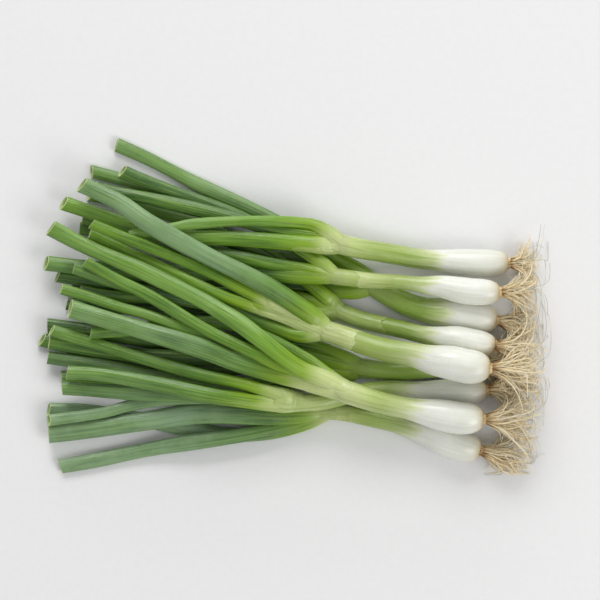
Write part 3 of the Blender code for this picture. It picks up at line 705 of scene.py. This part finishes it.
def skin_finish():
    """The living skin of bulb, shank and leaves. Marks on the points say how green, how
    stained, how pale and how far past the split each place is, and noise drawn out along
    the strand makes veins and ragged edges. It is glossy, a little clear and ribbed."""
    material, tree, shader = new_finish("onion_skin", 0.35)
    grain = add_node(tree, "Attribute", attribute_name="grain").outputs["Vector"]
    marks = {name: add_node(tree, "Attribute", attribute_name=name).outputs["Fac"]
             for name in ("greening", "depth", "foot", "away", "paling", "brightness", "bloom",
                          "rim", "inside", "crinkle")}
    wide = noise(tree, grain, WIDE_VEINS, 3.0, (1.0, 1.0, 0.05))
    fine = noise(tree, grain, FINE_VEINS, 4.0, (1.0, 1.0, 0.025))
    patch = noise(tree, grain, PATCHES, 3.0, (1.0, 1.0, 0.6))
    turned = moved(tree, moved(tree, marks["greening"], wide, 0.08), fine, 0.07)
    away = moved(tree, marks["away"], wide, 0.06)
    shank = shank_colour(tree, marks, turned, fine, patch)
    leaf = leaf_colour(tree, marks, away, wide, fine, patch)
    colour = mix(tree, spread(tree, away, 0.0, 0.14), shank, leaf)
    pale = math_node(tree, "MULTIPLY", marks["paling"], spread(tree, fine, 0.3, 0.7, 1.0, 0.4))
    # The inside of the hollow tips takes a darker green that is partly painted shade; the cut rim is paler.
    for share, over in ((pale, SPLIT_PALE), (marks["inside"], INNER_GREEN),
                        (marks["rim"], CUT_GREEN)):
        colour = mix(tree, share, colour, over)
    tree.links.new(colour, shader.inputs["Base Color"])
    tree.links.new(spread(tree, patch, 0.3, 0.7, 0.22, 0.36), shader.inputs["Roughness"])
    shader.inputs["Specular IOR Level"].default_value = 0.5
    shader.inputs["Subsurface Weight"].default_value = 0.15
    shader.inputs["Subsurface Radius"].default_value = (0.8, 1.0, 0.4)
    shader.inputs["Subsurface Scale"].default_value = 0.004
    wrinkle = noise(tree, grain, WRINKLES, 4.0, (1.0, 1.0, 0.45))
    folds = math_node(tree, "MULTIPLY", wrinkle, marks["crinkle"])
    ribs = math_node(tree, "MULTIPLY", fine, spread(tree, turned, 0.4, 0.7, 0.2, 0.38))
    bump(tree, shader, math_node(tree, "ADD", ribs, folds), RELIEF)
    return material


def centre_line(onion, leaf):
    """One line of stations from the root plate along the shank into a leaf, as place,
    height and run."""
    shank = onion["shank"]
    line = np.vstack([np.column_stack([shank["plan"], shank["height"]]),
                      np.column_stack([leaf["plan"], leaf["height"]])])
    run = np.concatenate([shank["run"], shank["run"][-1] + LEAF_START + leaf["run"]])
    return line, run


def uneven(turns, along, share, draw):
    """A factor near 1 for each ring and turn: three slow waves round the strand, each
    drifting along it, so that it isn't a perfect tube."""
    factor = np.ones((len(along), len(turns)))
    for lobes in (1, 2, 3):
        phase, drift = draw.uniform(0.0, 2.0 * math.pi), draw.uniform(-1, 1)
        size = share / lobes * np.sin(along / draw.uniform(*WAVE_RUNS) + phase)[:, None]
        factor += size * np.cos(lobes * turns + phase + drift * along[:, None] / DRIFT_RUN)
    return factor


def skin_marks(onion, turns, at, shift, pale=0.0, looks=(0.0, 0.0), rim=0.0, inside=0.0):
    """What the skin's finish needs to know at each ring: how green, how stained, how
    pale, how far past its pale start, and a cut edge or the inside of a leaf. Greening
    rises evenly along the strand and is a half on a slanted line where the green starts."""
    place, depth, paleness = onion["green"]
    past = at - onion["shank"]["run"][-1]
    fading = 1.0 - smoothstep((past - pale) / PALE_FADE)
    values = {"depth": depth, "foot": np.exp(-at / STAIN_SPAN),
              "away": (past - pale) / AWAY_SPAN,
              "paling": paleness * (smoothstep((past + PALE_BEFORE) / PALE_BEFORE) * fading),
              "brightness": looks[0], "bloom": looks[1], "rim": rim, "inside": inside,
              "crinkle": 0.0}
    marks = {name: np.broadcast_to(value, at.shape)[:, None] for name, value in values.items()}
    along = 0.5 + ((at - place) / GREENING_SPAN)[:, None]
    marks["greening"] = along + SLANT * np.cos(turns - place)
    marks["grain"] = grain_marks(turns, at, shift)
    return marks


def make_shank(number, onion, draw):
    """The bulb and shank: rings whose radius is the profile times an uneven factor, flat
    where they rest on the table, the last of them just inside the leaves."""
    total = onion["shank"]["run"][-1]
    round_end = WIDEST_FROM_PLATE * (1.0 - np.cos(np.linspace(0.0, math.pi / 2, ROUND_RINGS)))
    rest = np.linspace(WIDEST_FROM_PLATE, total, round((total - WIDEST_FROM_PLATE) / SHANK_STEP))
    shank = np.concatenate([round_end[:-1], rest])
    radius = shank_radius(shank, onion["radii"], onion["taper"])
    beyond, sunk = np.array(SEAM_RINGS).T
    at = np.append(shank, total + beyond)
    radius = np.append(radius, radius[-1] * sunk)
    line, run = centre_line(onion, onion["leaves"][-1])
    turns = round_turns(SHANK_AROUND)
    share = SHANK_UNEVEN * smoothstep((total - at) / UNEVEN_OVER)[:, None]
    shape = radius[:, None] * uneven(turns, at, share, draw)
    height = along_curve(line, run, at)[:, 2:3]
    tall = np.where(np.sin(turns) < 0, np.minimum(shape, height), shape)
    grid = tube_points(line, run, at, shape, tall, turns)
    marks = skin_marks(onion, turns, at, number * GRAIN_SHIFT)
    name = onion["name"]
    make_piece(name + "_skin", [(grid, marks, False)], onion_skin, name + "_bulb")


onion_skin = skin_finish()
draw = np.random.default_rng(4)
for number, onion in enumerate(bunch):
    make_shank(number, onion, draw)

# The leaves
# Hollow green tubes that grow out of the shank one inside another, part at its end and
# flatten as they spread: yellow-green at the split, deep or waxy green, and cut at the tip.
# The deep green is partly painted shade within the pile, and so is the darker green inside
# the hollow tips.
LEAF_AROUND = 32
LEAF_STEP = 2.0
LEAF_FROM = 12.0
SPLIT_LENGTH = 30.0
NESTED = 0.03
SUNK_SHARE = 0.056
OUTER_SHARE = 1.006
OVAL_AFTER = 1.2
LEAF_UNEVEN = 0.05
LEAF_WAVE = 0.05
LEAF_WAVE_RUNS = (9, 16)
WAVY_AFTER = 60.0
LEAF_WALL = 0.55
HOLLOW_DEPTH = 26.0
HOLLOW_RINGS = 12
CUT_RINGS = (1.2, 0.8, 0.4)
CUT_BLEND = 9.0
CUT_SLANT = 0.3
CUT_SET_BACK = 0.75
LEAF_GRAIN_SHIFT = 0.083


def leaf_section(onion, order, at):
    """Half width and half height of a leaf at places along it: nearly the shank's radius
    inside the shank, just over it at the split, then its own oval."""
    shank, leaf = onion["shank"], onion["leaves"][order]
    total = shank["run"][-1]
    past = np.clip(at - total, 0.0, None)
    thick = np.interp(at, shank["run"], shank["half_width"])
    outer = OUTER_SHARE - NESTED * (len(onion["leaves"]) - 1 - order)
    full = thick * (outer - SUNK_SHARE * smoothstep((total - at) / LEAF_FROM))
    own = leaf["width"] / 2 * narrowing(past / (LEAF_START + leaf["run"][-1]))
    half = full + (own - full) * smoothstep(past / SPLIT_LENGTH)
    flat = 1.0 + (LEAF_FLATNESS - 1.0) * smoothstep(past / (SPLIT_LENGTH * OVAL_AFTER))
    return half, half * flat


def leaf_marks(number, onion, order, turns, at, rim=0.0, inside=0.0):
    """The skin's marks along a leaf, or on what grew round it. Each leaf's grain is moved
    on by its number, and the top leaf's runs on from the shank's."""
    leaf = onion["leaves"][order]
    shift = number * GRAIN_SHIFT + (len(onion["leaves"]) - 1 - order) * LEAF_GRAIN_SHIFT
    return skin_marks(onion, turns, at, shift, leaf["pale"], leaf["looks"], rim, inside)


def leaf_tube(number, onion, order, draw):
    """One leaf, from inside the shank to its cut, then round the rim and back into the
    hollow: an oval whose half width goes from the shank's radius to the leaf's own over
    the split, times slow waves. The cut leans by a share of the width and of the height."""
    total = onion["shank"]["run"][-1]
    line, run = centre_line(onion, onion["leaves"][order])
    tip = run[-1]
    at = np.linspace(total - LEAF_FROM, tip, round((tip - total + LEAF_FROM) / LEAF_STEP))
    at = np.sort(np.concatenate([at, tip - np.array(CUT_RINGS)]))
    outside = len(at)
    at = np.concatenate([at, tip - np.linspace(0.0, HOLLOW_DEPTH, HOLLOW_RINGS)])
    turns = round_turns(LEAF_AROUND)
    past = np.clip(at - total, 0.0, None)
    half, high = leaf_section(onion, order, at)
    waves = np.sin(at / draw.uniform(*LEAF_WAVE_RUNS) + draw.uniform(0, 6))
    wave = 1.0 + LEAF_WAVE * waves * smoothstep(past / WAVY_AFTER)
    wall = np.where(np.arange(len(at)) < outside, 0.0, LEAF_WALL)[:, None]
    shape = uneven(turns, at, LEAF_UNEVEN, draw)
    shape = 1.0 + (shape - 1.0) * smoothstep(past / UNEVEN_OVER)[:, None]
    wide = (half * wave)[:, None] * shape - wall
    tall = (high * wave)[:, None] * shape - wall
    height = along_curve(line, run, at)[:, 2:3]
    tall = np.where(np.sin(turns) < 0, np.minimum(tall, height), tall)
    slant = draw.uniform(-CUT_SLANT, CUT_SLANT)
    set_back = CUT_SET_BACK * draw.uniform(0.0, 1.0) ** 2
    cut = slant * wide * np.cos(turns) - set_back * tall * np.sin(turns)
    push = cut * smoothstep((at - tip + CUT_BLEND) / CUT_BLEND)[:, None]
    grid = tube_points(line, run, at, wide, tall, turns, push)
    inside = (np.arange(len(at)) > outside).astype(float)
    rim = np.zeros(len(at))
    rim[outside - 1: outside + 1] = 1.0
    return grid, leaf_marks(number, onion, order, turns, at, rim, inside), False


draw = np.random.default_rng(7)
for number, onion in enumerate(bunch):
    name = onion["name"]
    tubes = [leaf_tube(number, onion, order, draw) for order in range(len(onion["leaves"]))]
    make_piece(name + "_greens", tubes, onion_skin, name + "_leaves")

# The sheaths
# Thin pale remnants of older leaf bases stay round the splits: sleeves that hold two
# leaves together a little further, and torn collars on the shank. They grew there.
SLEEVE_FROM = 5.0
SLEEVE_AROUND = 48
SLEEVE_LIFT = 0.35
SLEEVE_LIFTS_OVER = 8.0
SLEEVE_SUNK = 0.9
SLEEVE_SINKS_OVER = 12.0
NOTCH = 6.0
NOTCH_LENGTH = 24.0
LEAST_PARTED = 2.5

# A sleeve is its onion, its two leaves and its reach past the shank. A collar is its onion
# and leaf, its start and end past the shank, the middle and half of its arc in degrees,
# its lift and paleness at both ends, and how far its ends are pointed.
SLEEVES = [("onion_5", (1, 2), 54.0), ("onion_6", (2, 3), 26.0), ("onion_7", (2, 3), 34.0)]
COLLARS = [
    ("onion_5", 3, -17.0, 8.0, 95.0, 105.0, (0.28, 0.0), (1.0, 0.2), 0.0),
    ("onion_5", 3, 2.0, 13.0, 235.0, 50.0, (0.0, 0.2), (0.2, 0.6), 1.5),
    ("onion_2", 0, -34.0, -9.0, 80.0, 120.0, (0.0, 0.2), (0.0, 0.8), 1.0),
    ("onion_7", 4, -14.0, 9.0, 60.0, 75.0, (0.0, 0.2), (0.2, 0.6), 3.0),
    ("onion_1", 1, 4.0, 30.0, 25.0, 42.0, (0.0, 0.12), (0.75, 0.2), 5.0),
    ("onion_8", 1, -12.0, 6.0, 90.0, 90.0, (0.0, 0.2), (0.0, 0.3), 2.0),
    ("onion_4", 3, -26.0, -2.0, 90.0, 110.0, (0.25, 0.0), (0.35, 0.0), 0.0),
]
COLLAR_AROUND = 40
COLLAR_STEP = 0.6
COLLAR_SUNK = 0.3
WRINKLE = 0.7
CRINKLE = 0.8
TEARS = ((2.4, 1.0), (1.2, 3.0), (0.4, 8.0), (0.2, 17.0))


def sleeve_tube(number, onion, orders, reach):
    """One skin round two leaves: an oval along the line midway between them, as wide as
    both and sheared so that each side keeps its own leaf's height. Towards its end it
    sinks into the leaves, and is notched between them."""
    total = onion["shank"]["run"][-1]
    at = np.linspace(total - SLEEVE_FROM, total + reach, round(reach + SLEEVE_FROM))
    places = [along_curve(*centre_line(onion, onion["leaves"][order]), at) for order in orders]
    sections = np.array([leaf_section(onion, order, at) for order in orders])
    middle = (places[0] + places[1]) / 2.0
    away = places[0] - middle
    heading = np.gradient(middle[:, :2], axis=0)
    side = (heading[:, 0] * away[:, 1] - heading[:, 1] * away[:, 0]) / np.hypot(*heading.T)
    lift = (SLEEVE_LIFT * smoothstep((at - total) / SLEEVE_LIFTS_OVER)
            - SLEEVE_SUNK * smoothstep((at - at[-1] + SLEEVE_SINKS_OVER) / SLEEVE_SINKS_OVER))
    wide = np.abs(side) + sections[:, 0].max(axis=0) + lift
    tall = sections[:, 1].max(axis=0) + lift
    turns = round_turns(SLEEVE_AROUND)
    last = smoothstep((at - at[-1] + NOTCH_LENGTH) / NOTCH_LENGTH)[:, None]
    notch = -NOTCH * np.abs(np.sin(turns)) ** 1.5 * last
    grid = tube_points(middle, at, at, wide, tall, turns, notch)
    parted = np.maximum(np.abs(side), LEAST_PARTED)[:, None]
    across = np.clip(wide[:, None] * np.cos(turns) / parted, -1.0, 1.0)
    grid[..., 2] += np.sign(side)[:, None] * away[:, 2:3] * across
    return grid, leaf_marks(number, onion, orders[0], turns, at), False


def collar_shell(number, onion, order, start, end, middle, half_arc, lifts, pales, point,
                 draw):
    """A torn scrap of skin over part of a strand's round: an outer sheet raised by the
    lift times small wrinkles, an inner sheet sunk in the strand, and ragged ends that
    come to a point. Lift and paleness run evenly from one end to the other."""
    shank = onion["shank"]
    at = shank["run"][-1] + np.linspace(start, end, round((end - start) / COLLAR_STEP))
    share = (at - at[0]) / (at[-1] - at[0])
    half, high = leaf_section(onion, order, at)
    under = np.where(at < shank["run"][-1], np.interp(at, shank["run"], shank["half_width"]), 0.0)
    arc = np.linspace(-1.0, 1.0, COLLAR_AROUND)
    arc = np.concatenate([arc, arc[::-1]])
    turns = np.radians(middle + half_arc * arc)
    lift = (lifts[0] + (lifts[1] - lifts[0]) * share)[:, None] * (1.0 - np.abs(arc) ** 6)
    for waves in (5.0, 9.0, 14.0):
        phase, slope = draw.uniform(0.0, 6.0), draw.uniform(-0.5, 0.5)
        wrinkle = WRINKLE / waves * np.sin(waves * turns + phase + slope * at[:, None])
        lift = lift + wrinkle * lift
    lift = np.where(np.arange(turns.size) < COLLAR_AROUND, lift, -COLLAR_SUNK)
    torn = sum(size * np.sin(often * turns + draw.uniform(0.0, 6.0)) for size, often in TEARS)
    torn = torn - point * np.abs(arc) ** 1.5
    push = torn * (smoothstep(share * 2.0 - 1.0) - smoothstep(1.0 - share * 2.0))[:, None]
    wide, tall = (np.maximum(size, under)[:, None] + lift for size in (half, high))
    grid = tube_points(*centre_line(onion, onion["leaves"][order]), at, wide, tall, turns, push)
    marks = leaf_marks(number, onion, order, turns, at)
    bared = (pales[0] + (pales[1] - pales[0]) * share)[:, None]
    marks["paling"] = np.maximum(marks["paling"], bared)
    marks["depth"] = marks["depth"] * (1.0 - bared)
    marks["crinkle"] = np.minimum(bared, CRINKLE)
    return grid, marks, True


draw = np.random.default_rng(12)
for number, onion in enumerate(bunch):
    name = onion["name"]
    tubes = [sleeve_tube(number, onion, *rest) for owner, *rest in SLEEVES if owner == name]
    tubes += [collar_shell(number, onion, *rest, draw)
              for owner, *rest in COLLARS if owner == name]
    if tubes:
        make_piece(name + "_sheaths", tubes, onion_skin)

# The root plates and roots
# A short tan disc closes each bulb, and dozens of dry roots spring from it, fan out,
# curl and droop to the table, where the longest gather in a tangle.
# The kinds are roots, hair roots and grey wisps. The reach is a share of the onion's
# longest root, and the limit is where the kind ends along the bunch.
ROOT_KINDS = (
    {"count": 60, "rings": 26, "sides": 5, "radii": (0.55, 0.22), "reach": 1.0,
     "limit": 150.0, "wild": 1.0, "tones": (0.0, 0.6)},
    {"count": 60, "rings": 14, "sides": 3, "radii": (0.17, 0.11), "reach": 1.0,
     "limit": 150.0, "wild": 1.6, "tones": (0.2, 0.55)},
    {"count": 14, "rings": 26, "sides": 3, "radii": (0.24, 0.16), "reach": 1.6,
     "limit": 155.0, "wild": 1.6, "tones": (0.5, 1.0)},
)
ROOT_SPREAD = 0.72
ROOT_LENGTHS = (0.55, 1.35)
ROOT_FAN = 0.46
ROOT_RISE = 0.6
ROOT_SINK = (0.7, 1.5)
ROOT_BEND = 0.95
ROOT_WAVE = (0.05, 0.35)
ROOT_WAVES = (4.0, 11.0)
ROOT_THICKNESS = (0.75, 1.25)
ROOT_TOP = 44.8
ROOT_SQUEEZE = 9.0
ROOT_ACROSS = (-101.0, 52.0)
RAGGED_BY = 12.0
HIGHEST_REST = 4.0
LOWEST_REST = 0.7
SETTLES_OVER = 6.0
ROOT_GRAIN = 30.0
ROOT_SHIFT = 0.071
TUFT_SHIFT = 3.1
PLATE_SHIFT = 0.2
PLATE_LENGTH = 2.6
PLATE_AROUND = 40
PLATE_PROFILE = ((-1.2, 0.9), (0.0, 1.0), (0.6, 0.97), (1.2, 0.9), (1.8, 0.72), (2.3, 0.42),
                 (PLATE_LENGTH, 0.12))
PLATE_TONE = 0.22
GOLDEN_ANGLE = math.pi * (3.0 - math.sqrt(5.0))
FIBRES = 900.0
FIBRE_PATCHES = 160.0
FIBRE_RELIEF = 0.0001
ROOT_LIGHT = seen(240, 228, 196)
ROOT_TAN = seen(220, 198, 150)
ROOT_BROWN = seen(128, 86, 44)
ROOT_GREY = seen(172, 172, 162)


def root_finish():
    """Dry tan fibre: brown, tan, light and grey as the tone mark rises, moved by noise."""
    material, tree, shader = new_finish("root_fibre", 0.7)
    grain = add_node(tree, "Attribute", attribute_name="grain").outputs["Vector"]
    tone = add_node(tree, "Attribute", attribute_name="tone").outputs["Fac"]
    fine = noise(tree, grain, FIBRES, 4.0, (1.0, 1.0, 0.15))
    patch = noise(tree, grain, FIBRE_PATCHES, 2.0)
    level = moved(tree, moved(tree, tone, fine, 0.2), patch, 0.2, True)
    colour = ramp(tree, level, [(0.0, ROOT_BROWN), (0.35, ROOT_TAN), (0.8, ROOT_LIGHT),
                                (1.0, ROOT_GREY)])
    tree.links.new(colour, shader.inputs["Base Color"])
    tree.links.new(spread(tree, fine, 0.3, 0.7, 0.6, 0.8), shader.inputs["Roughness"])
    bump(tree, shader, fine, FIBRE_RELIEF)
    return material


def held(values, limit, room):
    """Values kept under a limit: from one room before it on, what is past that place
    becomes room times (1 - exp(-past / room))."""
    past = np.clip(values - (limit - room), 0.0, None)
    return values - past + room * (1.0 - np.exp(-past / room))


def root_lines(face, out, longest, kind, draw):
    """Lines of one kind of root as one array: start on the plate, then steps whose
    direction turns by a steady bend and a wave, and sinks under the root's weight. Near
    the limits the lines are squeezed together, and near the table they settle on it."""
    count, wild = kind["count"], kind["wild"]
    share = np.sqrt((np.arange(count) + 0.5) / count)
    angle = np.arange(count) * GOLDEN_ANGLE
    side = np.array([-out[1], out[0], 0.0])
    place = share * PLATE_RADIUS * ROOT_SPREAD
    start = (face + out * PLATE_LENGTH * 0.5 + (place * np.cos(angle))[:, None] * side
             + (place * np.sin(angle))[:, None] * np.array([0.0, 0.0, 1.0]))
    length = longest * kind["reach"] * draw.uniform(*ROOT_LENGTHS, count)
    t = np.linspace(0.0, 1.0, kind["rings"])
    yaw = math.atan2(out[1], out[0]) + ROOT_FAN * share * np.cos(angle)
    bend = draw.normal(0.0, ROOT_BEND, count) * wild
    waves = draw.uniform(*ROOT_WAVE, (2, count)) * wild
    phase = draw.uniform(0.0, 2.0 * math.pi, (2, count))
    often = draw.uniform(*ROOT_WAVES, (2, count))
    turn = (yaw[:, None] + bend[:, None] * t**1.5
            + waves[0][:, None] * (np.sin(often[0][:, None] * t + phase[0][:, None])
                                   - np.sin(phase[0])[:, None]) * smoothstep(t * 4.0))
    sink = draw.uniform(*ROOT_SINK, count)
    pitch = (ROOT_RISE * share * np.sin(angle))[:, None] - sink[:, None] * t
    pitch = pitch + waves[1][:, None] * 0.5 * np.sin(often[1][:, None] * t + phase[1][:, None])
    step = (length / (kind["rings"] - 1))[:, None]
    moves = np.dstack([np.cos(pitch) * np.cos(turn), np.cos(pitch) * np.sin(turn), np.sin(pitch)])
    gone = np.cumsum(moves[:, :-1] * step[..., None], axis=1)
    lines = start[:, None] + np.concatenate([np.zeros((count, 1, 3)), gone], axis=1)
    room = ROOT_SQUEEZE * draw.uniform(0.5, 1.3, count)[:, None]
    own_limit = kind["limit"] - RAGGED_BY * draw.uniform(0.0, 1.0, count)[:, None] ** 2
    lines[..., 0] = held(lines[..., 0], own_limit, room)
    lines[..., 1] = held(lines[..., 1], ROOT_ACROSS[1], room)
    lines[..., 1] = -held(-lines[..., 1], -ROOT_ACROSS[0], room)
    lines[..., 2] = held(lines[..., 2], ROOT_TOP, room / 2.0)
    rest = draw.uniform(0.6, 1.0, count)[:, None] ** 2 * HIGHEST_REST
    low = lines[..., 2] - rest
    settled = LOWEST_REST + (rest - LOWEST_REST) * np.exp(low / SETTLES_OVER)
    lines[..., 2] = np.where(low > 0.0, rest + low, settled)
    return lines


def root_tubes(lines, kind, shift, draw):
    """Thin tubes round the lines, each ring square to its root: centre + radius times
    (across times cos(turn) + up times sin(turn)). The tone runs from the first to the
    second over the first quarter of each root."""
    heading = np.gradient(lines, axis=1)
    heading /= np.linalg.norm(heading, axis=2)[..., None]
    across = np.cross([0.0, 0.0, 1.0], heading)
    across /= np.maximum(np.linalg.norm(across, axis=2), 0.001)[..., None]
    upwards = np.cross(heading, across)
    turns = round_turns(kind["sides"])
    thickness = np.linspace(*kind["radii"], kind["rings"])
    radius = thickness * draw.uniform(*ROOT_THICKNESS, (kind["count"], 1))
    ring = (np.cos(turns)[:, None] * across[:, :, None]
            + np.sin(turns)[:, None] * upwards[:, :, None])
    grids = lines[:, :, None] + radius[..., None, None] * ring
    along = np.linspace(0.0, 1.0, kind["rings"])
    first, second = kind["tones"]
    tubes = []
    for i, grid in enumerate(grids):
        tone = first + (second - first) * smoothstep(along * 4.0) + draw.normal(0.0, 0.12)
        marks = {"grain": grain_marks(turns, along * ROOT_GRAIN, shift + i * ROOT_SHIFT),
                 "tone": np.clip(tone, 0.0, 1.0)[:, None]}
        tubes.append((grid, marks, False))
    return tubes


def make_roots(number, onion, draw):
    """The plate, a lumpy dome whose radius is its profile's share of the bulb's plate,
    then its roots, its hair roots and a few long grey wisps, as one piece."""
    shank = onion["shank"]
    face = np.array([*shank["plan"][0], shank["height"][0]])
    out = np.array([*(shank["plan"][0] - shank["plan"][2]), 0.0])
    out /= np.linalg.norm(out)
    turns = round_turns(PLATE_AROUND)
    depth, share = np.array(PLATE_PROFILE).T
    lumps = (1.0 + 0.07 * np.sin(7 * turns + depth[:, None] * 3.0)
             + 0.05 * np.sin(13 * turns - depth[:, None] * 4.0))
    shape = (PLATE_RADIUS * share)[:, None] * lumps
    plate = tube_points(face + depth[:, None] * out, depth, depth, shape, shape, turns)
    tubes = [(plate, {"grain": grain_marks(turns, depth, number * PLATE_SHIFT),
                      "tone": np.full((len(depth), 1), PLATE_TONE)}, False)]
    for order, kind in enumerate(ROOT_KINDS):
        lines = root_lines(face, out, onion["longest_root"], kind, draw)
        tubes += root_tubes(lines, kind, number * TUFT_SHIFT + order, draw)
    name = onion["name"]
    make_piece(name + "_tuft", tubes, root_fibre, name + "_roots")


root_fibre = root_finish()
draw = np.random.default_rng(21)
for number, onion in enumerate(bunch):
    make_roots(number, onion, draw)
